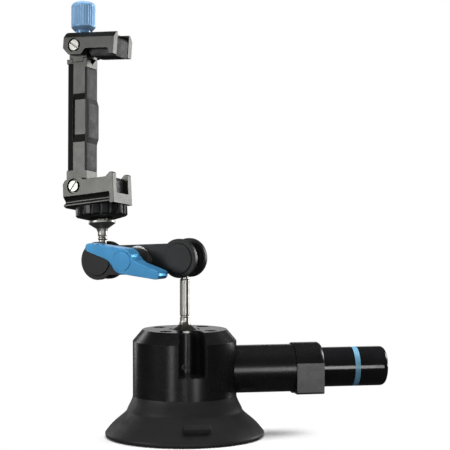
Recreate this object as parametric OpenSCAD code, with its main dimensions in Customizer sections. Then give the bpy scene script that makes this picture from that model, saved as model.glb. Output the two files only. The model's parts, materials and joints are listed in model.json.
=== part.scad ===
// Pump-action vacuum cup mount with a double-ball lever arm and a screw-driven phone clamp.
// Origin: on the cup's axis, on the surface it stands on. +X runs along the pump, +Z is up,
// and the slot and the peel tab face -Y. All sizes are in millimetres.

/* [Cup and body] */
// Outer diameter of the rubber cup's rim
cup_d = 80.6; // [78:0.2:84]
// Height of the rubber cup, which is also where the metal body starts
cup_h = 20.6; // [20:0.1:20.6]
// Diameter of the metal body
body_d = 52.5; // [50:0.5:56]
// Height of the top face above the surface
body_top = 54; // [53:0.5:56]
// Radial size of the body's top chamfer
body_chamfer = 4.9; // [2:0.1:5]
// Diameter of the bolt circle on the top face
bolt_circle_d = 32; // [30:0.5:33]
// Number of tapped holes on that circle
bolt_count = 4; // [4:1:4]
// Drill diameter of the tapped holes
tap_d = 5.2; // [4.2:0.1:5.4]
// Width of the front slot
slot_w = 12.9; // [11:0.1:13.4]
// Height of the front slot's floor
slot_floor = 32; // [31:0.5:36]

/* [Pump] */
// Height of the pump's axis
pump_z = 33.1; // [33:0.1:34]
// Outer diameter of the pump barrel
barrel_d = 24.3; // [23:0.1:24.3]
// Where the barrel ends and the collar starts, along X
collar_x = 55.6; // [52:0.1:60]
// Length of the collar
collar_len = 14.4; // [12:0.1:18]
// Diameter of the plunger
plunger_d = 20.3; // [19.8:0.1:20.4]
// How far the plunger stands out of the collar
plunger_out = 34.7; // [32:0.1:40]
// How far the plunger can be pushed in
stroke = 26; // [20:1:26]

/* [Ball studs and arm] */
// Height of the lower ball's centre
ball_z = 90; // [86:0.5:94]
// Diameter of both balls
ball_d = 10; // [10:0.1:10]
// Diameter of the stud's shaft
shaft_d = 4.9; // [4.6:0.1:5]
// Distance between the two ball centres
arm_len = 49; // [46:0.5:54]
// Compass direction of the arm, from the lower ball to the upper one
arm_azimuth = 140.3; // [0:0.1:360]
// How far the arm droops towards the upper ball, in degrees
arm_droop = 3; // [-5:0.5:8]
// Radius of the arm's end discs
disc_r = 9.9; // [9.6:0.1:11]
// Angle of the lever below the arm, in degrees
lever_angle = 20.4; // [0:0.1:45]
// Length of the lever from tip to tip
lever_len = 46; // [40:1:50]

/* [Phone clamp] */
// How far the upper stud leans from upright, in degrees
stud_lean = 9.75; // [0:0.05:12]
// Compass direction in which the upper stud leans
lean_azimuth = 96.2; // [90:0.1:180]
// Compass direction in which the jaws point
clamp_yaw = -38.4; // [-180:0.1:180]
// How far the spine rocks forward from square, in degrees
spine_rock = 2.8; // [0:0.1:3]
// How far the upper jaw droops from square, in degrees
jaw_droop = 4.6; // [0:0.1:6]
// Distance between the two jaw pivots with the clamp closed
pivot_gap = 75; // [72:0.1:78]
// How far the clamp can be opened
opening = 28; // [20:1:28]
// Width of both jaws
jaw_w = 18.4; // [18:0.1:20]
// Diameter of the adjusting knob
knob_d = 12.9; // [12:0.1:14]

/* [Hidden] */

$fn = 64;
eps = 0.01;
fit = 0.05;          // radial clearance of a running fit
far = 200;           // longer than anything that is cut

black = [0.10, 0.10, 0.11];
steel = [0.75, 0.75, 0.73];
rubber = [0.16, 0.16, 0.16];
blue = [0.20, 0.50, 0.75];
brass = [0.75, 0.62, 0.35];
grey = [0.45, 0.46, 0.44];

// ---- cup and body sizes
body_r = body_d / 2;
rim_r = cup_d / 2;
crease_r = 29.4;
crease_z = 13;
web_z = 8;                    // underside of the cup's thick centre
plate_r = 21;
plate_t = 3;
cup_screw_r = 13;
duct_x = 5;
duct_r = 1.5;
valve_r = 3;
recess_r = 7.75;
recess_depth = 1.6;
stud_thread_r = 3.1;
slot_back = 7;

// ---- pump sizes
barrel_r = barrel_d / 2;
barrel_bore_r = 10.5;
barrel_seat_x = 21;
spigot_r = 9;
spigot_x = 10.5;
plunger_r = plunger_d / 2;
collar_end = collar_x + collar_len;
plunger_end = collar_end + plunger_out;
collar_r = 13;
collar_foot = 12.3;             // from the pump's axis down to the collar's flat underside
collar_shoulder = 3.5;        // the collar's flat sides reach this far above the axis
piston_len = 4.9;
piston_x = collar_x - 0.2 - piston_len;
ring_x = plunger_end - 17.8;
ring_w = 2.7;
spring_bore_r = 6.5;
spring_bore_end = 80;

// ---- stud, arm and lever sizes
ball_r = ball_d / 2;
neck_r = 2;
neck_end = 10.6;
flange_r = 7;
flange_t = 1.2;
cone_h = 4.5;
lower_flange = ball_z - (body_top - recess_depth) - flange_t;
upper_flange = 19.3;
gap_half = 3.4;               // from the arm's middle plane to each plate
plate_out = 6;                // and to each plate's outer face
bar_half = 7.5;
seat_r = 6.5;
seat_deep = 5.1;
cap_r = 7.8;
cap_t = 0.6;
mid_x = arm_len / 2 - 1;       // the centre bolt and the lever's axis
bolt_r = 3;
hub_r = 6.25;
lever_y = 13.9;
lever_t = 8.4;
washer_t = 0.9;

// ---- clamp sizes, in the lower jaw's frame: the origin is at its pivot
stud_to_pivot = 11;
nut_bottom = 23.2;
nut_top = 28.1;
nut_r = 13.5;
nut_lobes = 18;
jaw_bottom = 28.3;            // along the stud, from the upper ball's centre
jaw_floor_z = -11.1;
channel_floor = -5.6;
wall_top = 2.9;
jaw_back = -6.6;
jaw_tip = 24.3;
channel_w = 11.2;
head_r = 2.9;
head_t = 1.1;
counterbore_r = 3.8;
counterbore_y = 8.1;
pivot_r = 2;
pivot_screw_in = 3;

// ---- spine and slider sizes, in the spine's frame: the origin is at the lower pivot
spine_w = 10.4;
spine_back = -6.9;
spine_front = 5.6;
spine_top = pivot_gap - 6.5;
pad_seat = 4.5;
pad_low = 8.65;
pad_high = spine_top - 5;
tab_low = spine_top - 1.7;     // underside of the slider's side tabs
lead_r = 2.5;
bore_bottom = 27.8;
lead_bottom = 30;
tongue_x = -5.15;
tongue_t = 1.8;
tongue_w = 6.4;
head_top = pivot_gap + 3.5;
knob_z = pivot_gap + 9.1;
knob_h = 15.2;
knob_r = knob_d / 2;

upper_ball = [
    arm_len * cos(arm_droop) * cos(arm_azimuth),
    arm_len * cos(arm_droop) * sin(arm_azimuth),
    ball_z - arm_len * sin(arm_droop)
];

// ---- frames and simple shapes

// The arm's frame: x to the upper ball, y out of the lever's side, z up
module arm_frame() {
    translate([0, 0, ball_z]) rotate([0, 0, arm_azimuth]) rotate([0, arm_droop, 0]) children();
}

// The upper stud's frame: z along the stud, x where the jaws point
module stud_frame() {
    translate(upper_ball)
        rotate([0, 0, lean_azimuth]) rotate([0, stud_lean, 0]) rotate([0, 0, clamp_yaw - lean_azimuth])
            children();
}

module lower_jaw_frame() {
    stud_frame() translate([-stud_to_pivot, 0, jaw_bottom - jaw_floor_z]) children();
}

module spine_frame() {
    lower_jaw_frame() rotate([0, spine_rock, 0]) children();
}

module upper_jaw_frame() {
    spine_frame() translate([0, 0, pivot_gap]) rotate([0, jaw_droop, 0]) children();
}

// A cylinder along y from y0 to y1
module rod_y(r, y0, y1) {
    translate([0, y0, 0]) rotate([-90, 0, 0]) cylinder(r = r, h = y1 - y0);
}

// A cylinder along the pump's axis from x0 to x1
module rod_x(r, x0, x1) {
    translate([x0, 0, pump_z]) rotate([0, 90, 0]) cylinder(r = r, h = x1 - x0);
}

// A body of revolution about the pump's axis, from an outline in [radius, x]
module turned_x(outline) {
    translate([0, 0, pump_z]) rotate([0, 90, 0]) rotate_extrude() polygon(outline);
}

// An outline in [x, z] made w thick, centred on y
module side_plate(w, outline) {
    translate([0, w / 2, 0]) rotate([90, 0, 0]) linear_extrude(w) polygon(outline);
}

// An outline in [y, z] made into a bar from x0 to x1
module bar_x(x0, x1, outline) {
    translate([x0, 0, 0]) rotate([90, 0, 90]) linear_extrude(x1 - x0) polygon(outline);
}

module both_sides() {
    children();
    mirror([0, 1, 0]) children();
}

module o_ring(mid_r, wire_r, x) {
    translate([x, 0, pump_z]) rotate([0, 90, 0]) rotate_extrude() translate([mid_r, 0]) circle(r = wire_r, $fn = 24);
}

// A coil spring along z from 0 to h
module coil(mid_r, wire_r, h, turns, steps = 16, sides = 6) {
    n = turns * steps;
    rings = [
        for (i = [0:n], j = [0:sides - 1])
            let (turn = 360 * i / steps, side = 360 * j / sides, r = mid_r + wire_r * cos(side))
                [r * cos(turn), r * sin(turn), h * i / n + wire_r * sin(side)]
    ];
    walls = [
        for (i = [0:n - 1], j = [0:sides - 1])
            let (k = (j + 1) % sides)
                [i * sides + j, i * sides + k, (i + 1) * sides + k, (i + 1) * sides + j]
    ];
    first = [for (j = [0:sides - 1]) sides - 1 - j];
    last = [for (j = [0:sides - 1]) n * sides + j];
    polyhedron(points = rings, faces = concat(walls, [first, last]));
}

// ---- cup and body

module rubber_cup() {
    color(rubber) difference() {
        union() {
            rotate_extrude() polygon([
                [0, web_z], [20, web_z], [25, web_z - 0.8], [31, 5], [36.4, 0], [rim_r - 1.2, 0],
                [rim_r - 0.3, 0.9], [rim_r, 2.2], [rim_r - 0.4, 3.4], [crease_r + 0.5, crease_z - 0.8],
                [crease_r, crease_z], [body_r + 1.1, cup_h - 4], [body_r, cup_h], [0, cup_h]
            ]);
            peel_tab();
        }
        translate([0, 0, cup_h - plate_t]) cylinder(r = plate_r, h = plate_t + eps);
        translate([duct_x, 0, web_z - eps]) cylinder(r = duct_r, h = far / 8);
        translate([duct_x, 0, web_z - eps]) cylinder(r = 6.1, h = 2);
        cup_bolt_spots() translate([0, 0, web_z - eps]) cylinder(r = 4.6, h = cup_h);
    }
}

// The raised tab on the flare that lifts the cup's edge
module peel_tab() {
    intersection() {
        translate([0, -34.5, 6.6]) rotate([-45, 0, 0]) cube([14, 9, 3.4], center = true);
        translate([0, 0, 2.4]) cylinder(r = rim_r, h = 8);
    }
}

module cup_bolt_spots() {
    for (a = [45:90:315]) rotate([0, 0, a]) translate([cup_screw_r, 0, 0]) children();
}

module cup_plate() {
    color(steel) difference() {
        translate([0, 0, cup_h - plate_t]) cylinder(r = plate_r, h = plate_t);
        translate([duct_x, 0, 0]) cylinder(r = duct_r, h = cup_h + 1);
        cup_bolt_spots() cylinder(r = 2.1, h = cup_h + 1);
    }
}

module cup_screws() {
    color(steel) cup_bolt_spots() difference() {
        union() {
            translate([0, 0, cup_h - plate_t - 3]) cylinder(r = 3.5, h = 3);
            translate([0, 0, cup_h - plate_t]) cylinder(r = 2, h = plate_t + 5);
        }
        translate([0, 0, cup_h - plate_t - 3 - eps]) cylinder(r = 1.7, h = 1.8, $fn = 6);
    }
}

module air_filter() {
    color(grey) translate([duct_x, 0, web_z + 0.2]) cylinder(r = 6, h = 1.6);
}

module check_valve() {
    color(brass) difference() {
        translate([duct_x, 0, cup_h]) cylinder(r = valve_r - fit, h = 4.8);
        translate([duct_x, 0, cup_h - eps]) cylinder(r = 0.9, h = 5);
    }
}

module body_housing() {
    color(black) difference() {
        rotate_extrude($fn = 128) polygon([
            [0, cup_h], [body_r, cup_h], [body_r, body_top - body_chamfer * 1.18],
            [body_r - body_chamfer, body_top], [0, body_top]
        ]);
        // the recess and thread for the lower ball stud
        translate([0, 0, body_top - recess_depth]) cylinder(r = recess_r, h = far);
        translate([0, 0, body_top - 14]) cylinder(r = stud_thread_r + fit, h = far);
        front_slot();
        for (i = [0:bolt_count - 1])
            rotate([0, 0, 45 + i * 360 / bolt_count]) translate([bolt_circle_d / 2, 0, body_top]) tapped_hole();
        // the pump's seat and its duct down to the cup
        rod_x(barrel_r + fit, barrel_seat_x, far);
        rod_x(spigot_r + fit, spigot_x - 0.5, far);
        rod_x(duct_r, duct_x, spigot_x);
        translate([duct_x, 0, cup_h - eps]) cylinder(r = duct_r, h = pump_z - cup_h);
        translate([duct_x, 0, cup_h - eps]) cylinder(r = valve_r, h = 5);
        cup_bolt_spots() translate([0, 0, cup_h - eps]) cylinder(r = 2, h = 6);
        vent_hole();
    }
}

// A milled slot with a round back and broken edges
module front_slot() {
    translate([0, 0, slot_floor]) linear_extrude(far) {
        translate([0, -slot_back - slot_w / 2]) circle(d = slot_w);
        translate([-slot_w / 2, -far]) square([slot_w, far - slot_back - slot_w / 2]);
        polygon([
            [slot_w / 2, -body_r + 1.9], [slot_w / 2 + 1.3, -body_r + 0.4], [slot_w / 2 + 1.3, -far],
            [-slot_w / 2 - 1.3, -far], [-slot_w / 2 - 1.3, -body_r + 0.4], [-slot_w / 2, -body_r + 1.9]
        ]);
    }
}

module tapped_hole() {
    translate([0, 0, -10]) cylinder(d = tap_d, h = far);
    translate([0, 0, -0.6]) cylinder(r1 = tap_d / 2, r2 = tap_d / 2 + 0.62, h = 0.62);
}

module vent_hole() {
    translate([-1.6, -slot_back + 3, 35.5]) rotate([90, 0, 0]) cylinder(r = 1.2, h = far);
}

module vent_screw() {
    color(steel) difference() {
        translate([-1.6, -slot_back + 3, 35.5]) rotate([90, 0, 0]) cylinder(r = 1.2, h = 2.8);
        translate([-1.6, -slot_back + 0.9, 35.5]) rotate([90, 0, 0]) cylinder(r = 0.6, h = 2, $fn = 6);
    }
}

// ---- pump

module pump_barrel() {
    color(black) difference() {
        union() {
            rod_x(barrel_r, barrel_seat_x + fit, collar_x);
            rod_x(spigot_r, spigot_x, barrel_seat_x + 1);
        }
        rod_x(barrel_bore_r, barrel_seat_x + 1.5, far);
        rod_x(spring_bore_r, spigot_x + 1.5, far);
        rod_x(duct_r, 0, far);
        turned_x([[spigot_r - 1.6, 15.9], [spigot_r + 1, 15.9], [spigot_r + 1, 17.7], [spigot_r - 1.6, 17.7]]);
    }
}

module barrel_seal() {
    color(rubber) o_ring(spigot_r - 0.78, 0.8, 16.8);
}

// Round above the axis, with flat sides and a flat underside below it
module pump_collar() {
    side = collar_r;
    bevel = 0.9;
    color(black) difference() {
        union() {
            turned_x([
                [0, collar_x], [collar_r, collar_x], [collar_r, collar_end - 1.2],
                [collar_r - 0.8, collar_end], [0, collar_end]
            ]);
            translate([0, 0, pump_z]) bar_x(collar_x, collar_end - 0.2, [
                [-side, collar_shoulder], [-side, bevel - collar_foot], [bevel - side, -collar_foot],
                [side - bevel, -collar_foot], [side, bevel - collar_foot], [side, collar_shoulder]
            ]);
        }
        rod_x(plunger_r + fit, collar_x - 1, far);
        turned_x([
            [plunger_r - 1, collar_end - 5], [plunger_r + 1.8, collar_end - 5],
            [plunger_r + 1.8, collar_end - 3], [plunger_r - 1, collar_end - 3]
        ]);
    }
}

module wiper_seal() {
    color(rubber) o_ring(plunger_r + 0.92, 0.86, collar_end - 4);
}

module return_spring() {
    color(steel) translate([12.8, 0, pump_z]) rotate([0, 90, 0]) coil(5, 0.6, 66, 12);
}

module plunger() {
    round_r = 2.6;
    arc = [for (a = [0:15:90]) [plunger_r - round_r + round_r * cos(a), plunger_end - round_r + round_r * sin(a)]];
    x0 = piston_x + piston_len;
    color(black) turned_x(concat(
        [[spring_bore_r, x0], [plunger_r, x0], [plunger_r, ring_x], [plunger_r - 0.7, ring_x]],
        [[plunger_r - 0.7, ring_x + ring_w], [plunger_r, ring_x + ring_w]],
        arc,
        [[0, plunger_end], [0, spring_bore_end], [spring_bore_r, spring_bore_end]]
    ));
}

module indicator_ring() {
    color(blue) turned_x([
        [plunger_r - 0.7, ring_x], [plunger_r, ring_x],
        [plunger_r, ring_x + ring_w], [plunger_r - 0.7, ring_x + ring_w]
    ]);
}

module piston() {
    r = barrel_bore_r - 0.12;
    color(black) turned_x([
        [spring_bore_r, piston_x], [r, piston_x], [r, piston_x + 1.4], [r - 1.6, piston_x + 1.4],
        [r - 1.6, piston_x + 3.5], [r, piston_x + 3.5], [r, piston_x + piston_len],
        [spring_bore_r, piston_x + piston_len]
    ]);
}

module piston_seal() {
    r = barrel_bore_r - fit;
    color(rubber) turned_x([
        [r - 1.6, piston_x + 1.5], [r - 0.4, piston_x + 1.5], [r, piston_x + 2.1],
        [r, piston_x + 2.9], [r - 0.4, piston_x + 3.4], [r - 1.6, piston_x + 3.4]
    ]);
}

// ---- ball studs and arm

// A ball stud with its ball at the origin and its thread along +z
module ball_stud(flange, thread_end) {
    r = shaft_d / 2;
    groove = flange - cone_h - 3;
    sphere(r = ball_r);
    rotate_extrude() polygon([
        [0, 0], [neck_r, 0], [neck_r, neck_end], [r, neck_end + 0.4],
        [r, groove], [r - 0.3, groove + 0.3], [r - 0.3, groove + 0.9], [r, groove + 1.2],
        [r, flange - cone_h], [r + 0.6, flange - cone_h * 0.6], [flange_r, flange],
        [flange_r, flange + flange_t], [stud_thread_r, flange + flange_t],
        [stud_thread_r, thread_end - 0.5], [stud_thread_r - 0.5, thread_end], [0, thread_end]
    ]);
}

module lower_ball_stud() {
    color(steel) translate([0, 0, ball_z]) mirror([0, 0, 1]) ball_stud(lower_flange, lower_flange + 12);
}

module upper_ball_stud() {
    color(steel) stud_frame() ball_stud(upper_flange, jaw_bottom + 4.9);
}

// The two cups that grip a ball, in the arm's frame
module ball_seats() {
    both_sides() difference() {
        rod_y(seat_r, gap_half - 0.1, seat_deep);
        sphere(r = ball_r + fit);
        rod_y(1.4, 0, far);
    }
}

module lower_ball_seats() {
    color(brass) arm_frame() ball_seats();
}

module upper_ball_seats() {
    color(brass) arm_frame() translate([arm_len, 0, 0]) ball_seats();
}

// The shell on the +y side
module arm_shell() {
    difference() {
        union() {
            for (x = [0, arm_len]) translate([x, 0, 0]) rod_y(disc_r, gap_half, plate_out);
            translate([0, gap_half, -bar_half]) cube([arm_len, plate_out - gap_half, 2 * bar_half]);
            translate([mid_x, 0, 0]) rod_y(7.2, 2.6, gap_half + eps);
        }
        for (x = [0, arm_len]) translate([x, 0, 0]) {
            rod_y(seat_r + fit, 0, seat_deep + fit);
            rotate([-90, 0, 0]) rotate_extrude() polygon([
                [disc_r - 0.8, gap_half - 1], [disc_r + 1, gap_half - 1],
                [disc_r + 1, gap_half + 1.2], [disc_r - 0.8, gap_half - 0.1]
            ]);
        }
        translate([mid_x, 0, 0]) {
            rod_y(bolt_r + fit, 0, far);
            rod_y(4.8, 0, 3.6);
        }
    }
}

module arm_front_shell() {
    color(black) arm_frame() arm_shell();
}

module arm_rear_shell() {
    color(black) arm_frame() mirror([0, 1, 0]) arm_shell();
}

module arm_end_caps() {
    color(black) arm_frame() both_sides() for (x = [0, arm_len]) translate([x, 0, 0]) rotate([-90, 0, 0])
        translate([0, 0, plate_out]) cylinder(r1 = cap_r, r2 = cap_r - 0.4, h = cap_t);
}

module centre_bolt() {
    color(steel) arm_frame() translate([mid_x, 0, 0]) difference() {
        union() {
            rod_y(bolt_r, -plate_out, lever_y + 6);
            rod_y(5.2, -plate_out - 2.4, -plate_out);
        }
        translate([0, -plate_out - 2.5, 0]) rotate([-90, 0, 0]) cylinder(r = 2.3, h = 1.7, $fn = 6);
    }
}

module shell_spring() {
    color(steel) arm_frame() translate([mid_x, -3.1, 0]) rotate([-90, 0, 0]) coil(4.05, 0.45, 6.2, 4);
}

module thrust_washer() {
    color(steel) arm_frame() translate([mid_x, 0, 0]) difference() {
        rod_y(hub_r + 0.9, plate_out, plate_out + washer_t);
        rod_y(bolt_r + fit, 0, far);
    }
}

module lever_hub() {
    color(grey) arm_frame() translate([mid_x, 0, 0]) difference() {
        rod_y(hub_r, plate_out + washer_t + 0.1, lever_y);
        rod_y(bolt_r + fit, 0, far);
    }
}

// One wing of the lever: straight on one side, hollowed towards the hub on the other
module lever_wing() {
    tip = lever_len / 2;
    polygon([
        [0, 0], [1.2, -6.28], [tip - 1.6, -2.3], [tip - 0.4, -1.5], [tip, 0], [tip - 0.5, 1.5],
        [tip - 1.6, 2.1], [9.5, 2.2], [7.2, 2.7], [5.6, 4]
    ]);
}

module clamp_lever() {
    color(blue) arm_frame() translate([mid_x, lever_y, 0]) rotate([-90, 0, 0]) rotate([0, 0, -lever_angle])
        difference() {
            linear_extrude(lever_t) {
                circle(r = hub_r + 0.15);
                for (a = [0, 180]) rotate([0, 0, a]) lever_wing();
            }
            translate([0, 0, -eps]) cylinder(r = bolt_r + fit, h = 6.2);
            translate([0, 0, lever_t - 0.6]) cylinder(r = 5.05, h = 1);
        }
}

module lever_cap() {
    color(blue) arm_frame() translate([mid_x, lever_y + lever_t, 0]) rod_y(5, -0.6, 0.15);
}

// ---- phone clamp

module lock_nut() {
    color(black) stud_frame() difference() {
        rotate_extrude() polygon([
            [stud_thread_r + fit, nut_bottom - 1.9], [6.5, nut_bottom - 1.9], [nut_r - 0.3, nut_bottom],
            [nut_r, nut_bottom + 0.4], [nut_r, nut_top - 0.4], [nut_r - 0.4, nut_top],
            [stud_thread_r + fit, nut_top]
        ]);
        for (i = [0:nut_lobes - 1])
            rotate([0, 0, i * 360 / nut_lobes]) translate([nut_r + 0.25, 0, nut_bottom - 3])
                cylinder(r = 1, h = 10, $fn = 16);
    }
}

// Both jaws are channels: walls along each side and a floor between them
module pivot_bores() {
    both_sides() {
        rod_y(pivot_r + fit, 0, far);
        rod_y(counterbore_r, counterbore_y, far);
    }
}

module lower_jaw() {
    half = jaw_w / 2;
    b = jaw_floor_z;
    color(grey) lower_jaw_frame() difference() {
        side_plate(jaw_w, [
            [jaw_back, b + 0.8], [jaw_back + 0.8, b], [jaw_tip, b], [jaw_tip, 4.4], [jaw_tip - 0.5, 5],
            [jaw_tip - 2, 5], [jaw_tip - 4.4, wall_top], [6.4, wall_top], [5.6, 3.3], [5.3, 4.2],
            [-3.4, 4.2], [-5.3, 3.4], [jaw_back, 1.6]
        ]);
        translate([-far / 2, -channel_w / 2, channel_floor]) cube([far, channel_w, far]);
        // the undercut rail along the underside, closed at the tip
        both_sides() bar_x(jaw_back - 1, jaw_tip - 2.6, [
            [half + 1, b - 1], [half - 1.5, b - 0.1], [half - 0.3, b + 1], [half - 0.3, b + 1.9],
            [half - 2.2, b + 2.8], [half - 2.2, b + 3.6], [half + 0.05, b + 6], [half + 1, b + 6]
        ]);
        pivot_bores();
        translate([stud_to_pivot, 0, b - 1]) cylinder(r = stud_thread_r + fit, h = 8);
    }
}

module lower_jaw_pad() {
    color(rubber) lower_jaw_frame() side_plate(channel_w - 0.1, [
        [7.4, channel_floor], [21.6, channel_floor], [21.6, 1.2], [20, wall_top], [19.4, wall_top + 0.5],
        [8, wall_top + 0.5], [7.4, wall_top]
    ]);
}

module spine() {
    half = spine_w / 2;
    color(grey) spine_frame() difference() {
        union() {
            side_plate(spine_w, [
                [spine_back, 0], [spine_front, 0], [spine_front, pad_low], [pad_seat, pad_low],
                [pad_seat, pad_high], [spine_front, pad_high], [spine_front, spine_top],
                [spine_back, spine_top]
            ]);
            rod_y(5.3, -half, half);
        }
        both_sides() {
            // the bevel along the back edge, and the hollowed waist of the side
            translate([0, 0, 9]) linear_extrude(pad_high - 6.5) polygon([
                [spine_back - 1, 3.6], [spine_back, 4], [-2.8, half + eps], [-2.8, half + 1], [spine_back - 1, half + 1]
            ]);
            bar_x(-3.1, pad_seat, [[half + 0.1, 23.5], [half - 1.2, 28], [half - 1.2, 46.6], [half + 0.1, 50]]);
            // seats of the pivot screws and of the slider's side tabs
            rod_y(pivot_r, pivot_screw_in, far);
            translate([-3.3, half - 1.3, tab_low - 0.1]) cube([6.6, 2, 5]);
        }
        translate([0, 0, bore_bottom]) cylinder(r = lead_r + fit, h = far);
        translate([tongue_x - fit, -tongue_w / 2 - fit, bore_bottom])
            cube([tongue_t + 2 * fit, tongue_w + 2 * fit, far]);
        // the notch in the front of the top edge
        bar_x(3.4, spine_front + 1, [[-3.6, spine_top + eps], [0, spine_top - 3.2], [3.6, spine_top + eps]]);
    }
}

module spine_pad() {
    front = spine_front;
    color(rubber) spine_frame() side_plate(spine_w, [
        [pad_seat, pad_low], [front, pad_low + 0.1], [front, 23.1], [front + 1.1, 26.1],
        [front + 1.1, 43.8], [front, 46.8], [front, pad_high - 0.1], [pad_seat, pad_high]
    ]);
}

// A slotted pivot screw on the +y side, its slot turned by angle
module pivot_screw(angle) {
    y0 = counterbore_y + 0.15;
    difference() {
        union() {
            rod_y(pivot_r, pivot_screw_in, y0 + eps);
            rod_y(head_r, y0, y0 + head_t);
        }
        translate([0, y0 + head_t, 0]) rotate([0, angle, 0]) cube([8, 1, 0.6], center = true);
    }
}

module lower_pivot_screws() {
    color(steel) spine_frame() both_sides() pivot_screw(-50);
}

module upper_pivot_screws() {
    color(steel) spine_frame() translate([0, 0, pivot_gap]) both_sides() pivot_screw(35);
}

module slider() {
    half = spine_w / 2;
    color(grey) spine_frame() difference() {
        union() {
            side_plate(spine_w, [
                [-5.4, spine_top + 0.2], [5.4, spine_top + 0.2], [5.4, head_top - 1.2], [4.4, head_top],
                [-4.4, head_top], [-5.4, head_top - 1.2]
            ]);
            translate([tongue_x, -tongue_w / 2, lead_bottom])
                cube([tongue_t, tongue_w, spine_top + 1 - lead_bottom]);
            both_sides() translate([-3.2, half - 1.2, tab_low]) cube([6.4, 1.2, 4]);
        }
        both_sides() translate([0, 0, pivot_gap]) rod_y(pivot_r, pivot_screw_in, far);
        cylinder(r = lead_r + fit, h = far);
    }
}

module knob_washer() {
    color(brass) spine_frame() translate([0, 0, head_top]) difference() {
        cylinder(r = 4.2, h = 0.6);
        translate([0, 0, -1]) cylinder(r = lead_r + fit, h = 3);
    }
}

module lead_screw() {
    color(steel) spine_frame() translate([0, 0, lead_bottom]) cylinder(r = lead_r, h = knob_z + 9 - lead_bottom);
}

module knob() {
    color(blue) spine_frame() rotate_extrude() polygon([
        [lead_r, head_top + 0.65], [4, head_top + 0.65], [4, knob_z], [4.7, knob_z],
        [knob_r, knob_z + 1.9], [knob_r, knob_z + knob_h - 1.3], [knob_r - 1.3, knob_z + knob_h],
        [0, knob_z + knob_h], [0, knob_z + 9], [lead_r, knob_z + 9]
    ]);
}

module knob_cap() {
    color(blue) spine_frame() translate([0, 0, knob_z + knob_h]) cylinder(r1 = 4.6, r2 = 3.6, h = 0.7);
}

module upper_jaw() {
    half = jaw_w / 2;
    color(grey) upper_jaw_frame() difference() {
        side_plate(jaw_w, [
            [-6.8, -1.6], [-3.3, -4.9], [4.6, -4.9], [5.8, -3.7], [6.5, -2.3], [7.6, -1.8], [20.5, -1.8],
            [21.6, -2.6], [22, -4.9], [24.6, -4.9], [24.6, 7.1], [-6.1, 7.1], [-6.8, 6.2]
        ]);
        translate([-far / 2, -channel_w / 2, 4.6 - far]) cube([far, channel_w, far]);
        both_sides() bar_x(-far, far, [[half - 2.6, 7.2], [half + 0.1, 4], [half + 2, 4], [half + 2, 9], [half - 2.6, 9]]);
        translate([19.5, -channel_w / 2, 4]) cube([far, channel_w, 5]);
        cylinder(r = 5.3, h = far);
        pivot_bores();
    }
}

module upper_jaw_pad() {
    ribs = 9;
    first = 9.6;
    pitch = 1.65;
    color(rubber) upper_jaw_frame() difference() {
        side_plate(channel_w - 0.1, [
            [7.4, 4.5], [7.4, -3.4], [9.4, -5.7], [24.4, -5.7], [24.4, 3.4], [23.4, 4.5]
        ]);
        for (i = [0:ribs - 1]) translate([first + i * pitch, -far / 2, -6]) cube([0.7, far, 0.8]);
    }
}

rubber_cup();
cup_plate();
cup_screws();
air_filter();
check_valve();
body_housing();
vent_screw();
pump_barrel();
barrel_seal();
pump_collar();
wiper_seal();
return_spring();
plunger();
indicator_ring();
piston();
piston_seal();
lower_ball_stud();
lower_ball_seats();
arm_front_shell();
arm_rear_shell();
arm_end_caps();
centre_bolt();
shell_spring();
thrust_washer();
lever_hub();
clamp_lever();
lever_cap();
upper_ball_seats();
upper_ball_stud();
lock_nut();
lower_jaw();
lower_jaw_pad();
spine();
spine_pad();
lower_pivot_screws();
slider();
upper_pivot_screws();
knob_washer();
lead_screw();
knob();
knob_cap();
upper_jaw();
upper_jaw_pad();
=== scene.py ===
import json
import math

import bmesh
import bpy
from mathutils import Matrix, Vector


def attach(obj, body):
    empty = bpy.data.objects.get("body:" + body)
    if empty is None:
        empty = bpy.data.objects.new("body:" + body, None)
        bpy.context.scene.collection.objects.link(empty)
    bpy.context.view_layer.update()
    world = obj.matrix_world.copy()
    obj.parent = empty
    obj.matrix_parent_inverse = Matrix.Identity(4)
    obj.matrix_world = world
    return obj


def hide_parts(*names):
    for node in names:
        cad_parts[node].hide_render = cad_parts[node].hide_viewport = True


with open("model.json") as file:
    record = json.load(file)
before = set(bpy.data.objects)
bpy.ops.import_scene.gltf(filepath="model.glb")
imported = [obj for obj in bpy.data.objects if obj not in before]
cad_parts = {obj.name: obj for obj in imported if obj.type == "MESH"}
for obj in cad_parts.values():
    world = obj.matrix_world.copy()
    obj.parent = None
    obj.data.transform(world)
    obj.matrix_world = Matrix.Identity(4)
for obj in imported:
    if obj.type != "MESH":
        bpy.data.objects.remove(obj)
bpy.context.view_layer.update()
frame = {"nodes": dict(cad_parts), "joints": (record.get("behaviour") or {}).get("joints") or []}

scene = bpy.context.scene
nodes = frame["nodes"]
joints = {j["name"]: j for j in frame["joints"]}

# ------------------------------------------------------------------ frames, with lengths in mm

MM = 0.001


def axes_at(origin, x, y, z):
    """A matrix that takes millimetres along x, y and z from origin to the row frame in metres."""
    m = Matrix.Identity(4)
    for i, v in enumerate((x, y, z)):
        for k in range(3):
            m[k][i] = v[k] * MM
    for k in range(3):
        m[k][3] = origin[k]
    return m


def joint_axis(name):
    return Vector(joints[name]["axis"]).normalized()


def joint_at(name):
    return Vector(joints[name]["pos_m"])


upper_ball = joint_at("upper_swing")
jaw_y = joint_axis("spine_rock")
stud_z = joint_axis("clamp_swivel")
spine_z = joint_axis("slider_travel")

JAW_DROOP = math.radians(4.6)  # the upper jaw's lean from square with the spine
PUMP_Z = 33.1  # height of the pump's axis
PIVOT_GAP = 75.0  # from the lower jaw's pivot to the upper jaw's

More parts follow.
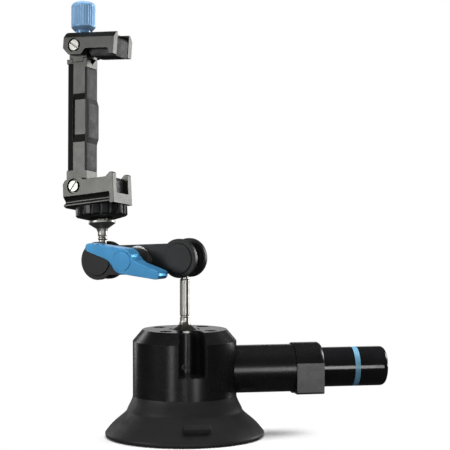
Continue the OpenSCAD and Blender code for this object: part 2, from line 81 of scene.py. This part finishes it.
BASE = Matrix.Scale(MM, 4)
JAW = axes_at(joint_at("spine_rock"), jaw_y.cross(stud_z), jaw_y, stud_z)
SPINE = axes_at(joint_at("spine_rock"), jaw_y.cross(spine_z), jaw_y, spine_z)
UPPER = axes_at(joint_at("upper_jaw_rock"), jaw_y.cross(spine_z), jaw_y, spine_z)
UPPER = UPPER @ Matrix.Rotation(JAW_DROOP, 4, "Y")

# ------------------------------------------------------------------ materials


BRUSH_ALONG = 60.0  # how many times per metre a scratch varies along its length
BLAST_DEPTH = 0.0000006  # bead-blast speckle, in metres
LATHE_LINES = 5200  # per metre


class Shade:
    """One procedural material: a Principled shader, with helpers for colour, roughness and bump."""

    def __init__(self, name, **fixed):
        self.mat = bpy.data.materials.new(name)
        self.mat.use_nodes = True
        self.tree = self.mat.node_tree
        self.tree.nodes.clear()
        self.out = self.add("ShaderNodeOutputMaterial")
        self.bsdf = self.add("ShaderNodeBsdfPrincipled")
        self.link(self.bsdf.outputs[0], self.out.inputs[0])
        for key, value in fixed.items():
            self.bsdf.inputs[key.replace("_", " ")].default_value = value
        self.where = self.add("ShaderNodeTexCoord").outputs["Object"]
        self.height = None

    def add(self, kind, **props):
        node = self.tree.nodes.new(kind)
        for key, value in props.items():
            setattr(node, key, value)
        return node

    def link(self, a, b):
        self.tree.links.new(a, b)

    def math(self, op, a, b=0.0):
        node = self.add("ShaderNodeMath", operation=op)
        for i, v in enumerate((a, b)):
            if isinstance(v, (int, float)):
                node.inputs[i].default_value = v
            else:
                self.link(v, node.inputs[i])
        return node.outputs[0]

    def noise(self, scale, detail=3.0, rough=0.55, vector=None):
        node = self.add("ShaderNodeTexNoise")
        node.inputs["Scale"].default_value = scale
        node.inputs["Detail"].default_value = detail
        node.inputs["Roughness"].default_value = rough
        self.link(vector or self.where, node.inputs["Vector"])
        return node.outputs["Fac"]

    def ramp(self, fac, stops):
        node = self.add("ShaderNodeValToRGB")
        elements = node.color_ramp.elements
        while len(elements) < len(stops):
            elements.new(0.5)
        for element, (pos, colour) in zip(elements, stops):
            element.position = pos
            element.color = (*colour, 1) if len(colour) == 3 else colour
        self.link(fac, node.inputs["Fac"])
        return node.outputs["Color"]

    def spread(self, fac, low, high):
        node = self.add("ShaderNodeMapRange")
        node.inputs["From Min"].default_value = 0.3
        node.inputs["From Max"].default_value = 0.7
        node.inputs["To Min"].default_value = low
        node.inputs["To Max"].default_value = high
        self.link(fac, node.inputs["Value"])
        return node.outputs["Result"]

    def colour(self, socket):
        self.link(socket, self.bsdf.inputs["Base Color"])
        return self

    def roughness(self, socket):
        self.link(socket, self.bsdf.inputs["Roughness"])
        return self

    def bump(self, fac, distance, strength=1.0):
        node = self.add("ShaderNodeBump")
        node.inputs["Strength"].default_value = strength
        node.inputs["Distance"].default_value = distance
        self.link(fac, node.inputs["Height"])
        if self.height:
            self.link(self.height, node.inputs["Normal"])
        self.height = node.outputs["Normal"]
        self.link(self.height, self.bsdf.inputs["Normal"])
        return self

    def dot(self, a, b):
        node = self.add("ShaderNodeVectorMath", operation="DOT_PRODUCT")
        self.link(a, node.inputs[0])
        node.inputs[1].default_value = b
        return node.outputs["Value"]

    def turned(self, centre, axis, lines):
        """Fine rings round an axis, as a lathe leaves.

        The centre and the axis are in the row frame, and lines is a number per metre.
        """
        off = self.add("ShaderNodeVectorMath", operation="SUBTRACT")
        self.link(self.where, off.inputs[0])
        off.inputs[1].default_value = centre
        along = self.dot(off.outputs[0], axis)
        full = self.add("ShaderNodeVectorMath", operation="LENGTH")
        self.link(off.outputs[0], full.inputs[0])
        full_squared = self.math("MULTIPLY", full.outputs["Value"], full.outputs["Value"])
        along_squared = self.math("MULTIPLY", along, along)
        squared = self.math("SUBTRACT", full_squared, along_squared)
        across = self.math("SQRT", self.math("MAXIMUM", squared, 0.0))
        both = self.add("ShaderNodeCombineXYZ")
        self.link(along, both.inputs[0])
        self.link(across, both.inputs[1])
        return self.noise(lines, 2.0, 0.5, both.outputs[0])

    def brushed(self, axis, lines):
        """Fine scratches that run along an axis, with lines a number per metre across it."""
        keep = self.add("ShaderNodeVectorMath", operation="SCALE")
        along = self.dot(self.where, axis)
        node = self.add("ShaderNodeVectorMath", operation="SCALE")
        node.inputs[0].default_value = axis
        self.link(along, node.inputs["Scale"])
        rest = self.add("ShaderNodeVectorMath", operation="SUBTRACT")
        self.link(self.where, rest.inputs[0])
        self.link(node.outputs[0], rest.inputs[1])
        self.link(node.outputs[0], keep.inputs[0])
        keep.inputs["Scale"].default_value = BRUSH_ALONG / lines
        total = self.add("ShaderNodeVectorMath", operation="ADD")
        self.link(rest.outputs[0], total.inputs[0])
        self.link(keep.outputs[0], total.inputs[1])
        return self.noise(lines, 2.0, 0.6, total.outputs[0])


def metal(name, dark, light, rough, grain=None, depth=0.000001, metallic=1.0, **extra):
    """Coated or bare metal: patchy colour and gloss, bead-blast speckle, and an optional grain."""
    s = Shade(name, Metallic=metallic, **extra)
    s.colour(s.ramp(s.noise(90, 4, 0.6), [(0.3, dark), (0.7, light)]))
    s.roughness(s.spread(s.noise(260, 3, 0.6), rough * 0.94, rough * 1.07))
    s.bump(s.noise(9000, 2, 0.5), BLAST_DEPTH, 0.35)
    if grain:
        s.bump(grain(s), depth, 0.6)
    return s.mat


UP = (0, 0, 1)
PUMP_AXIS = ((0, 0, PUMP_Z * MM), (1, 0, 0))  # a point and a direction

mats = {
    "body": metal("body_black", (0.008, 0.008, 0.0085), (0.011, 0.011, 0.0115), 0.26,
                  lambda s: s.turned((0, 0, 0), UP, LATHE_LINES), metallic=0.0,
                  Specular_IOR_Level=0.45),
    "pump": metal("pump_black", (0.008, 0.008, 0.0085), (0.011, 0.011, 0.0115), 0.26,
                  lambda s: s.turned(*PUMP_AXIS, LATHE_LINES), metallic=0.0,
                  Specular_IOR_Level=0.6),
    "clamp": metal("clamp_grey", (0.06, 0.06, 0.057), (0.08, 0.08, 0.075), 0.33,
                   lambda s: s.brushed(tuple(spine_z), 4200), metallic=0.85),
    "arm": metal("arm_black", (0.014, 0.014, 0.0145), (0.02, 0.02, 0.0205), 0.4,
                 lambda s: s.noise(2400, 3, 0.6), depth=0.000008, metallic=0.1),
    "nut": metal("nut_black", (0.013, 0.013, 0.0135), (0.018, 0.018, 0.0185), 0.3,
                 lambda s: s.turned(tuple(upper_ball), tuple(stud_z), LATHE_LINES), metallic=0.3),
    "stud_low": metal("stud_steel", (0.5, 0.49, 0.45), (0.6, 0.59, 0.55), 0.33),
    "stud_up": metal("stud_steel_upper", (0.5, 0.49, 0.45), (0.6, 0.59, 0.55), 0.4),
    "screw": metal("screw_steel", (0.42, 0.42, 0.38), (0.52, 0.52, 0.48), 0.36),
    "thread": metal("thread_steel", (0.5, 0.5, 0.48), (0.64, 0.64, 0.61), 0.28,
                    lambda s: s.turned(tuple(joint_at("knob_turn")), tuple(spine_z), 1200),
                    depth=0.0002),
    "plain_steel": metal("plain_steel", (0.5, 0.5, 0.48), (0.66, 0.66, 0.63), 0.32),
    "brass": metal("seat_brass", (0.55, 0.42, 0.2), (0.72, 0.56, 0.28), 0.3),
    "dark_steel": metal("seat_dark_steel", (0.02, 0.02, 0.02), (0.04, 0.04, 0.04), 0.35),
    "knob": metal("knob_blue", (0.33, 0.59, 0.95), (0.39, 0.66, 1.0), 0.3, metallic=0.35),
    "lever": metal("lever_blue", (0.08, 0.36, 0.72), (0.1, 0.44, 0.82), 0.3,
                   lambda s: s.noise(3000, 2, 0.5), metallic=0.6),
}


def gloss_plastic():
    s = Shade("plunger_gloss", Metallic=0.0, Specular_IOR_Level=0.5)
    s.colour(s.ramp(s.noise(60, 3), [(0.3, (0.008, 0.008, 0.009)), (0.7, (0.013, 0.013, 0.014))]))
    s.roughness(s.spread(s.noise(180, 4), 0.09, 0.15))
    s.bump(s.turned(*PUMP_AXIS, 3000), 0.000003, 0.4)
    return s.mat


def rubber(name, dark, light, rough=0.62, ribs=None):
    """Moulded rubber: a dull skin with fine pores and slight blooming."""
    s = Shade(name, Metallic=0.0, Specular_IOR_Level=0.4)
    bloom = s.noise(45, 5, 0.65)
    s.colour(s.ramp(bloom, [(0.28, dark), (0.75, light)]))
    s.roughness(s.spread(s.noise(300, 4, 0.6), rough - 0.08, rough + 0.1))
    s.bump(s.noise(5200, 3, 0.6), 0.00002, 0.35)
    s.bump(s.noise(700, 2, 0.5), 0.00005, 0.25)
    if ribs:
        s.bump(ribs(s), 0.00004, 0.5)
    return s.mat


def light_band():
    s = Shade("ring_blue", Metallic=0.0, Specular_IOR_Level=0.5)
    s.colour(s.ramp(s.noise(120, 3), [(0.3, (0.15, 0.38, 0.56)), (0.7, (0.19, 0.43, 0.61))]))
    s.roughness(s.spread(s.noise(400, 3), 0.24, 0.34))
    s.bump(s.turned(*PUMP_AXIS, 4000), 0.000003, 0.4)
    return s.mat


def foam():
    s = Shade("filter_foam", Metallic=0.0)
    s.colour(s.ramp(s.noise(1500, 5, 0.7), [(0.35, (0.06, 0.06, 0.058)), (0.7, (0.2, 0.2, 0.19))]))
    s.roughness(s.spread(s.noise(800), 0.8, 0.95))
    s.bump(s.noise(2200, 4, 0.7), 0.0003, 0.8)
    return s.mat


mats["gloss"] = gloss_plastic()
mats["cup"] = rubber("cup_rubber", (0.015, 0.015, 0.016), (0.022, 0.022, 0.023), 0.5,
                     lambda s: s.turned((0, 0, 0), UP, 900))
mats["pad"] = rubber("pad_rubber", (0.034, 0.034, 0.035), (0.048, 0.048, 0.049), 0.5)
mats["seal"] = rubber("seal_rubber", (0.02, 0.02, 0.02), (0.03, 0.03, 0.03), 0.5)
mats["ring"] = light_band()
mats["foam"] = foam()

# ------------------------------------------------------------------ mesh helpers


def shade(obj, angle=35.0):
    """Smooth shading, with edges sharper than angle kept crisp."""
    bm = bmesh.new()
    bm.from_mesh(obj.data)
    for face in bm.faces:
        face.smooth = True
    for edge in bm.edges:
        if len(edge.link_faces) == 2:
            edge.smooth = edge.calc_face_angle(0.0) < math.radians(angle)
    bm.to_mesh(obj.data)
    bm.free()
    return obj


def bevel(obj, width, segments=2, limit=30.0):
    """Rounds the sharp edges, and puts the result in the mesh."""
    mod = obj.modifiers.new("round", "BEVEL")
    mod.width = width * MM
    mod.segments = segments
    mod.limit_method = "ANGLE"
    mod.angle_limit = math.radians(limit)
    mod.use_clamp_overlap = True
    mod.miter_outer = "MITER_ARC"
    return apply_all(obj)


def even(obj):
    """Turns the normals of rounded edges towards the broad faces beside them, which stay flat."""
    mod = obj.modifiers.new("even", "WEIGHTED_NORMAL")
    mod.mode = "FACE_AREA"
    mod.weight = 50
    mod.keep_sharp = True
    return apply_all(obj)


def apply_all(obj):
    graph = bpy.context.evaluated_depsgraph_get()
    mesh = bpy.data.meshes.new_from_object(obj.evaluated_get(graph))
    obj.modifiers.clear()
    obj.data = mesh
    return obj


def from_bmesh(name, bm, matrix):
    bmesh.ops.remove_doubles(bm, verts=bm.verts, dist=1e-5)
    bmesh.ops.recalc_face_normals(bm, faces=bm.faces)
    mesh = bpy.data.meshes.new(name)
    bm.to_mesh(mesh)
    bm.free()
    mesh.transform(matrix)
    if matrix.to_3x3().determinant() < 0:
        mesh.flip_normals()
    obj = bpy.data.objects.new(name, mesh)
    scene.collection.objects.link(obj)
    return obj


def lathe(name, outline, matrix, segments=128, wave=None):
    """Turns an outline of (radius, height) round z. wave(height, angle) is taken off the radius."""
    bm = bmesh.new()
    rings = []
    for r, z in outline:
        if r < 1e-6:
            rings.append([bm.verts.new((0, 0, z))])
            continue
        ring = []
        for i in range(segments):
            a = 2 * math.pi * i / segments
            rr = r - (wave(z, a) if wave else 0)
            ring.append(bm.verts.new((rr * math.cos(a), rr * math.sin(a), z)))
        rings.append(ring)
    pairs = list(zip(rings, rings[1:] + rings[:1]))
    for low, high in pairs:
        if len(low) == 1 and len(high) == 1:
            continue
        for i in range(segments):
            k = (i + 1) % segments
            face = [low[i % len(low)], low[k % len(low)], high[k % len(high)], high[i % len(high)]]
            bm.faces.new(list(dict.fromkeys(face)))
    return from_bmesh(name, bm, matrix)


def extrude_y(name, outline, y0, y1, matrix):
    """An outline of (x, z) made solid from y0 to y1."""
    bm = bmesh.new()
    a = [bm.verts.new((x, y0, z)) for x, z in outline]
    b = [bm.verts.new((x, y1, z)) for x, z in outline]
    bm.faces.new(a)
    bm.faces.new(b[::-1])
    for i in range(len(a)):
        k = (i + 1) % len(a)
        bm.faces.new((a[i], b[i], b[k], a[k]))
    return from_bmesh(name, bm, matrix)


def cut(obj, *tools):
    """Takes the tools out of obj, and throws the tools away."""
    for i, tool in enumerate(tools):
        mod = obj.modifiers.new(f"cut{i}", "BOOLEAN")
        mod.operation = "DIFFERENCE"
        mod.solver = "EXACT"
        mod.object = tool
    apply_all(obj)
    for tool in tools:
        bpy.data.objects.remove(tool)
    return obj


def arc(cx, cz, r, a0, a1, n=8):
    """Points of (x, z) on an arc, with angles in degrees."""
    return [(cx + r * math.cos(math.radians(a0 + (a1 - a0) * i / n)),
             cz + r * math.sin(math.radians(a0 + (a1 - a0) * i / n))) for i in range(n + 1)]


def wear(obj, material, body, stands_for=()):
    """Gives a finished piece its material and its body, and hides the CAD nodes it stands for."""
    obj.data.materials.clear()
    obj.data.materials.append(material)
    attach(obj, body)
    if stands_for:
        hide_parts(*stands_for)
    return obj


SOFT_CREASE = 50  # degrees: a softened piece is smooth across anything less sharp than this
MERGE = 2e-6  # metres
FLAT = math.radians(0.4)  # triangles this close to one plane become one face


def softened(node, width, material, body, slot, segments=2, limit=24.0):
    """A copy of a CAD node with its sharp edges rounded, which stands for the node."""
    obj = nodes[node].copy()
    obj.data = nodes[node].data.copy()
    for key in list(obj.keys()):
        del obj[key]
    obj.name = node + "_soft"
    obj.parent = None
    scene.collection.objects.link(obj)
    bm = bmesh.new()
    bm.from_mesh(obj.data)
    bmesh.ops.remove_doubles(bm, verts=bm.verts, dist=MERGE)
    bmesh.ops.dissolve_limit(bm, angle_limit=FLAT, verts=bm.verts, edges=bm.edges)
    bmesh.ops.recalc_face_normals(bm, faces=bm.faces)
    for layer in list(bm.loops.layers.uv):
        bm.loops.layers.uv.remove(layer)
    bm.to_mesh(obj.data)
    bm.free()
    if obj.data.has_custom_normals:
        obj.data.normals_split_custom_set([(0, 0, 0)] * len(obj.data.loops))
    bevel(obj, width, segments, limit)
    shade(obj, SOFT_CREASE)
    even(obj)
    return wear(obj, material, body, (node,))


# ------------------------------------------------------------------ camera, lights and floor

AWAY = Vector((0.1857, 0.9826, 0))  # level, from the camera into the scene
RIGHT = Vector((0.9826, -0.1857, 0))
CAMERA_BACK, CAMERA_SIDE, CAMERA_HEIGHT = 0.803, 0.02045, 0.134
PITCH = math.radians(1.95)  # downwards

cam_data = bpy.data.cameras.new("camera")
cam_data.sensor_width = 36
cam_data.lens = 127.2
cam_data.clip_start = 0.01
camera = bpy.data.objects.new("camera", cam_data)
scene.collection.objects.link(camera)
camera.location = -AWAY * CAMERA_BACK + RIGHT * CAMERA_SIDE + Vector((0, 0, CAMERA_HEIGHT))
look = AWAY * math.cos(PITCH) - Vector((0, 0, math.sin(PITCH)))
camera.rotation_euler = look.to_track_quat("-Z", "Y").to_euler()
scene.camera = camera
scene.view_settings.view_transform = "Standard"


def area(name, at, aim, size_x, size_y, power):
    data = bpy.data.lights.new(name, "AREA")
    data.shape = "RECTANGLE"
    data.size = size_x
    data.size_y = size_y
    data.energy = power
    light = bpy.data.objects.new(name, data)
    scene.collection.objects.link(light)
    light.location = at
    light.rotation_euler = (Vector(aim) - Vector(at)).to_track_quat("-Z", "Y").to_euler()
    return light


centre = Vector((0.0, 0.0, 0.1))


def placed(bearing, height, distance):
    """A point at a bearing from the camera, in degrees and positive to the camera's right."""
    b = math.radians(bearing)
    flat = -AWAY * math.cos(b) + RIGHT * math.sin(b)
    h = math.radians(height)
    return centre + flat * (distance * math.cos(h)) + Vector((0, 0, distance * math.sin(h)))


# name, bearing and height in degrees, distance, width and length in metres, power in watts
for name, bearing, height, distance, size_x, size_y, power in (
    ("key_left", -27, -2, 1.58, 0.16, 0.5, 1.9),
    ("key_right", 26.7, -2, 1.56, 0.24, 0.42, 2.4),
    ("side_left", -61, 11, 1.3, 0.4, 0.34, 3.5),
    ("side_right", 121, 9, 1.3, 0.4, 0.8, 8),
    ("front_strip", 2, 3, 1.5, 0.11, 0.6, 1.5),
    ("rim_left", -138, 10, 1.3, 0.3, 0.9, 2),
):
    area(name, placed(bearing, height, distance), centre, size_x, size_y, power)
top = area("top_box", (0.05, 0.1, 1.2), (0.05, 0.0, 0.0), 1.2, 1.2, 26)
top.visible_glossy = False
back = area("back_box", placed(180, 10, 1.3), centre, 0.9, 0.26, 0.8)
back.visible_camera = False

world = bpy.data.worlds.new("studio")
scene.world = world
world.use_nodes = True
wt = world.node_tree
wt.nodes.clear()
w_out = wt.nodes.new("ShaderNodeOutputWorld")
SEEN_WHITE = 1.0  # the world that the camera sees
FELT_WHITE = 0.03  # and the world that lights the part


def white_world(strength):
    node = wt.nodes.new("ShaderNodeBackground")
    node.inputs[0].default_value = (1, 1, 1, 1)
    node.inputs[1].default_value = strength
    return node


seen = white_world(SEEN_WHITE)
felt = white_world(FELT_WHITE)
path = wt.nodes.new("ShaderNodeLightPath")
mix = wt.nodes.new("ShaderNodeMixShader")
wt.links.new(path.outputs["Is Camera Ray"], mix.inputs[0])
wt.links.new(felt.outputs[0], mix.inputs[1])
wt.links.new(seen.outputs[0], mix.inputs[2])
wt.links.new(mix.outputs[0], w_out.inputs[0])

FLOOR_HALF = 3  # metres
FLOOR_DROP = 0.0002  # just under the cup's rim
FADE_FROM, FADE_TO = 0.042, 0.072  # the floor is clear past the second radius

floor_bm = bmesh.new()
bmesh.ops.create_grid(floor_bm, x_segments=1, y_segments=1, size=FLOOR_HALF)
floor_mesh = bpy.data.meshes.new("floor")
floor_bm.to_mesh(floor_mesh)
floor_bm.free()
floor = bpy.data.objects.new("floor", floor_mesh)
floor.location = (0, 0, -FLOOR_DROP)
scene.collection.objects.link(floor)
floor_shade = Shade("floor_white", Metallic=0.0, Roughness=0.9)
floor_tones = [(0.3, (0.93, 0.93, 0.93)), (0.7, (0.96, 0.96, 0.96))]
floor_shade.colour(floor_shade.ramp(floor_shade.noise(3), floor_tones))
reach = floor_shade.add("ShaderNodeVectorMath", operation="LENGTH")
floor_shade.link(floor_shade.where, reach.inputs[0])
fade = floor_shade.add("ShaderNodeMapRange", interpolation_type="SMOOTHSTEP")
fade.inputs["From Min"].default_value = FADE_FROM
fade.inputs["From Max"].default_value = FADE_TO
fade.inputs["To Min"].default_value = 1.0
fade.inputs["To Max"].default_value = 0.0
floor_shade.link(reach.outputs["Value"], fade.inputs["Value"])
floor_shade.link(fade.outputs["Result"], floor_shade.bsdf.inputs["Alpha"])
floor.data.materials.append(floor_shade.mat)
floor.visible_glossy = False

# ------------------------------------------------------------------ rubber cup

CUP_TOP = 20.6
PLATE_LOW = 17.6  # underside of the steel plate's seat
PLATE_R = 21.0
WEB_TOOL_LOW = 6  # the cutting tools start below the cup's web
WELL_CIRCLE = 13  # the plate screws' distance from the axis
WELL_R = 4.6
TOOL_TOP = 19
FILTER_X, FILTER_R, FILTER_TOP = 5, 6.1, 10
DUCT_R = 1.5

under = [(0, 8.0), (12, 8.0), (20, 7.9), (25, 7.1), (28.5, 6.0), (31.5, 4.7), (34.5, 2.4),
         (36.6, 0.25), (37.0, 0.0)]
rim = [(38.8, 0.0)] + arc(38.8, 1.5, 1.5, -80, 40, 7)
flare = [(39.2, 3.4), (38.0, 4.9), (36.7, 6.3), (35.2, 7.7), (33.6, 9.0), (32.0, 10.3),
         (30.6, 11.5), (29.7, 12.45)]
crease = [(29.35, 12.9), (29.15, 13.5), (28.75, 14.5), (28.1, 15.8), (27.4, 17.2),
          (26.8, 18.5), (26.4, 19.7), (26.2, CUP_TOP)]
plate_seat = [(PLATE_R, CUP_TOP), (PLATE_R, PLATE_LOW), (0, PLATE_LOW)]
cup = lathe("cup_rubber", under + rim + flare + crease + plate_seat, BASE, 160)

well = [(0, WEB_TOOL_LOW), (WELL_R, WEB_TOOL_LOW), (WELL_R, TOOL_TOP), (0, TOOL_TOP)]
filter_seat = [(0, WEB_TOOL_LOW), (FILTER_R, WEB_TOOL_LOW), (FILTER_R, FILTER_TOP),
               (DUCT_R, FILTER_TOP), (DUCT_R, TOOL_TOP), (0, TOOL_TOP)]
tools = []
for a in (45, 135, 225, 315):
    x, y = WELL_CIRCLE * math.cos(math.radians(a)), WELL_CIRCLE * math.sin(math.radians(a))
    tools.append(lathe("tool", well, BASE @ Matrix.Translation((x, y, 0)), 48))
tools.append(lathe("tool", filter_seat, BASE @ Matrix.Translation((FILTER_X, 0, 0)), 48))
cut(cup, *tools)
shade(cup, 32)
wear(cup, mats["cup"], "base", ("rubber_cup",))

# the peel tab: a rounded block that follows the flare
tab_slope = Matrix.Rotation(math.radians(-45), 4, "X")
tab_outline = [(-6.9, -1.6), (6.9, -1.6), (6.9, 1.5), (6.2, 1.9), (-6.2, 1.9), (-6.9, 1.5)]
tab_place = BASE @ Matrix.Translation((0, -34.3, 6.9)) @ tab_slope
tab = extrude_y("peel_tab", tab_outline, -4.3, 4.3, tab_place)
bevel(tab, 0.6, 4, 40)
shade(tab, 40)
wear(tab, mats["cup"], "base")

# ------------------------------------------------------------------ carried-over and softened metal

# node, rounding in mm, material, body and slot, then segments and smallest angle where needed
CLAMP_ROUND = (2, 10)
for node, width, key, body, slot, *rounding in (
    ("body_housing", 0.25, "body", "base", "black_anodised"),
    ("pump_barrel", 0.2, "pump", "base", "black_anodised"),
    ("pump_collar", 0.3, "pump", "base", "black_anodised", 3),
    ("arm_front_shell", 0.3, "arm", "arm", "black_coated", 3),
    ("arm_rear_shell", 0.3, "arm", "arm", "black_coated", 3),
    ("lock_nut", 0.2, "nut", "lock_nut", "black_anodised", 2, 40),
    ("lower_jaw", 0.22, "clamp", "lower_jaw", "grey_anodised", *CLAMP_ROUND),
    ("upper_jaw", 0.22, "clamp", "upper_jaw", "grey_anodised", *CLAMP_ROUND),
    ("spine", 0.22, "clamp", "spine", "grey_anodised", *CLAMP_ROUND),
    ("slider", 0.22, "clamp", "slider", "grey_anodised", *CLAMP_ROUND),
    ("lower_pivot_screws", 0.15, "screw", "spine", "bright_steel"),
    ("upper_pivot_screws", 0.15, "screw", "slider", "bright_steel"),
    ("lever_hub", 0.3, "arm", "lever", "black_anodised"),
    ("centre_bolt", 0.3, "plain_steel", "arm", "steel"),
    ("clamp_lever", 0.5, "lever", "lever", "blue_anodised", 3, 20),
    ("lower_ball_stud", 0.12, "stud_low", "lower_stud", "bright_steel"),
    ("upper_ball_stud", 0.12, "stud_up", "upper_stud", "bright_steel"),
):
    softened(node, width, mats[key], body, slot, *rounding)

plain = {
    "cup_plate": "plain_steel", "cup_screws": "plain_steel", "air_filter": "foam",
    "check_valve": "brass", "vent_screw": "dark_steel", "barrel_seal": "seal",
    "wiper_seal": "seal", "return_spring": "plain_steel",
    "plunger": "gloss", "indicator_ring": "ring", "piston": "gloss", "piston_seal": "seal",
    "lower_ball_seats": "dark_steel", "upper_ball_seats": "dark_steel", "arm_end_caps": "arm",
    "shell_spring": "plain_steel", "thrust_washer": "plain_steel", "lever_cap": "lever",
    "knob_washer": "brass", "lead_screw": "thread",
}
for name, key in plain.items():
    nodes[name].data.materials.clear()
    nodes[name].data.materials.append(mats[key])

# ------------------------------------------------------------------ rubber blocks of the clamp

PAD_HALF = 5.5
STRIP_HALF = 5.15
RIBS, RIB_FIRST, RIB_PITCH = 9, 9.7, 1.65


def block(name, outline, half, matrix, rounding, body, node):
    """A rubber block of the clamp, made from its side outline, which stands for a CAD node."""
    pad = extrude_y(name, outline, -half, half, matrix)
    bevel(pad, *rounding)
    shade(pad, 40)
    wear(pad, mats["pad"], body, (node,))


low = [(7.4, -5.6), (21.6, -5.6), (21.6, 1.4), (20.2, 3.3), (8.0, 3.4), (7.4, 2.8)]
block("jaw_block_low", low, PAD_HALF, JAW, (0.5, 4, 30), "lower_jaw", "lower_jaw_pad")

strip = [(4.52, 8.7), (5.55, 8.8), (5.55, 23.1), (6.62, 26.1), (6.62, 43.8), (5.55, 46.8),
         (5.55, 63.3), (4.52, 63.4)]
block("spine_strip", strip, STRIP_HALF, SPINE, (0.28, 3, 15), "spine", "spine_pad")

ribbed = [(7.4, 4.4), (7.4, -3.4), (9.3, -5.65)]
for i in range(RIBS):
    x = RIB_FIRST + i * RIB_PITCH
    ribbed += [(x, -5.7), (x + 0.1, -5.1), (x + 0.6, -5.1), (x + 0.7, -5.7)]
ribbed += [(24.35, -5.7), (24.4, 3.2), (23.4, 4.4)]
block("jaw_block_high", ribbed, PAD_HALF, UPPER, (0.18, 3, 30), "upper_jaw", "upper_jaw_pad")

# ------------------------------------------------------------------ knurled knob

KNOB_LOW = PIVOT_GAP + 9.1
KNOB_TOP = KNOB_LOW + 15.2
KNOB_R = 6.45
KNURL_LOW = KNOB_LOW + 2.2
KNURL_TOP = KNOB_TOP - 1.9
KNURL_DEPTH = 0.28
KNURL_RIDGES = 32
BOSS_LOW = PIVOT_GAP + 4.15
BOSS_R = 4.0
SCREW_R = 2.5
SCREW_TOP = KNOB_LOW + 9


def knurl(z, a):
    """The depth of the ridges, which run out over half a millimetre at each end."""
    edge = min(z - KNURL_LOW, KNURL_TOP - z)
    if edge <= 0:
        return 0
    return min(edge / 0.5, 1) * KNURL_DEPTH * (0.5 - 0.5 * math.cos(KNURL_RIDGES * a))


boss = [(SCREW_R, BOSS_LOW), (BOSS_R, BOSS_LOW), (BOSS_R, KNOB_LOW - 0.05)]
lower_bevel = [(4.5, KNOB_LOW), (4.8, KNOB_LOW + 0.15), (6.2, KNOB_LOW + 1.65),
               (6.4, KNOB_LOW + 1.95)]
side = [(KNOB_R, KNURL_LOW), (KNOB_R, KNOB_LOW + 2.7)]
side += [(KNOB_R, KNOB_LOW + 2.7 + i * 1.1) for i in range(1, 10)]
side += [(KNOB_R, KNOB_TOP - 2.4), (KNOB_R, KNURL_TOP)]
upper_bevel = [(6.42, KNOB_TOP - 1.5), (6.3, KNOB_TOP - 1.15), (5.4, KNOB_TOP - 0.2),
               (5.2, KNOB_TOP - 0.05), (4.9, KNOB_TOP)]
cap = [(4.6, KNOB_TOP + 0.02), (4.4, KNOB_TOP + 0.28), (3.6, KNOB_TOP + 0.5),
       (2.0, KNOB_TOP + 0.62), (0, KNOB_TOP + 0.66)]
inside = [(0, SCREW_TOP), (SCREW_R, SCREW_TOP)]
knob_outline = boss + lower_bevel + side + upper_bevel + cap + inside
knob = lathe("knob_knurled", knob_outline, SPINE, 256, knurl)
shade(knob, 42)
wear(knob, mats["knob"], "knob", ("knob", "knob_cap"))
